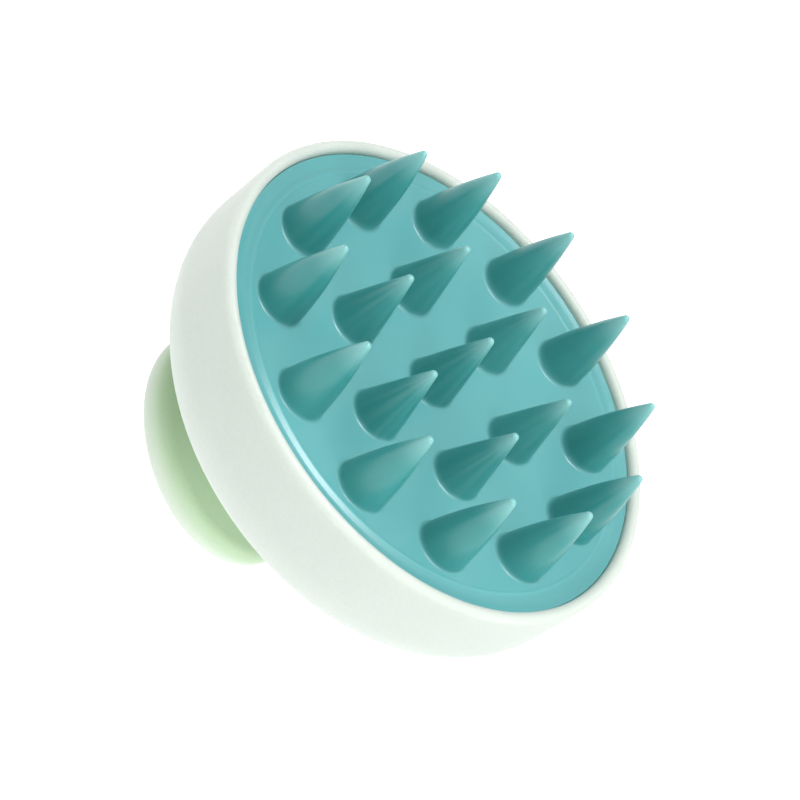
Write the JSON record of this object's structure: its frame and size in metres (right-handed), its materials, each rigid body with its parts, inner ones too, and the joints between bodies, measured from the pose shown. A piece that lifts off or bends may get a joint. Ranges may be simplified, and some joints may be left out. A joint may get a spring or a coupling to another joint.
{
  "type": "scalp massager brush",
  "caption": "Hand-held scalp massager: a round bowl holding a dished silicone pad of tapered bristles, leaning on a short stem with a disc-shaped knob handle.",
  "frame": {"origin": "centre of the knob's flat end, which is the face the brush stands on", "axes": "+Z along the handle's axis towards the bristles; the head leans 17 degrees from +Z towards +X; XZ is the mirror plane"},
  "size_m": [0.0758, 0.076, 0.0617],
  "materials": {
    "silicone": "satin translucent silicone",
    "inner_plastic": "matte moulded",
    "shell_plastic": "fine matte moulded",
    "handle_plastic": "fine matte moulded",
    "cap_plastic": "fine matte moulded",
    "screw_steel": "zinc plated"
  },
  "bodies": {
    "body": {"bowl_shell": "shell_plastic", "handle_stem": "handle_plastic", "palm_cap": "cap_plastic", "handle_screws": "screw_steel"},
    "brush_head": {"bristle_pad": "silicone", "backing_plate": "inner_plastic"}
  },
  "joints": [
    {"name": "head_release", "type": "slide", "parent": "body", "child": "brush_head", "axis": [0.2924, 0, 0.9563], "range_m": [0, 0.022]}
  ]
}
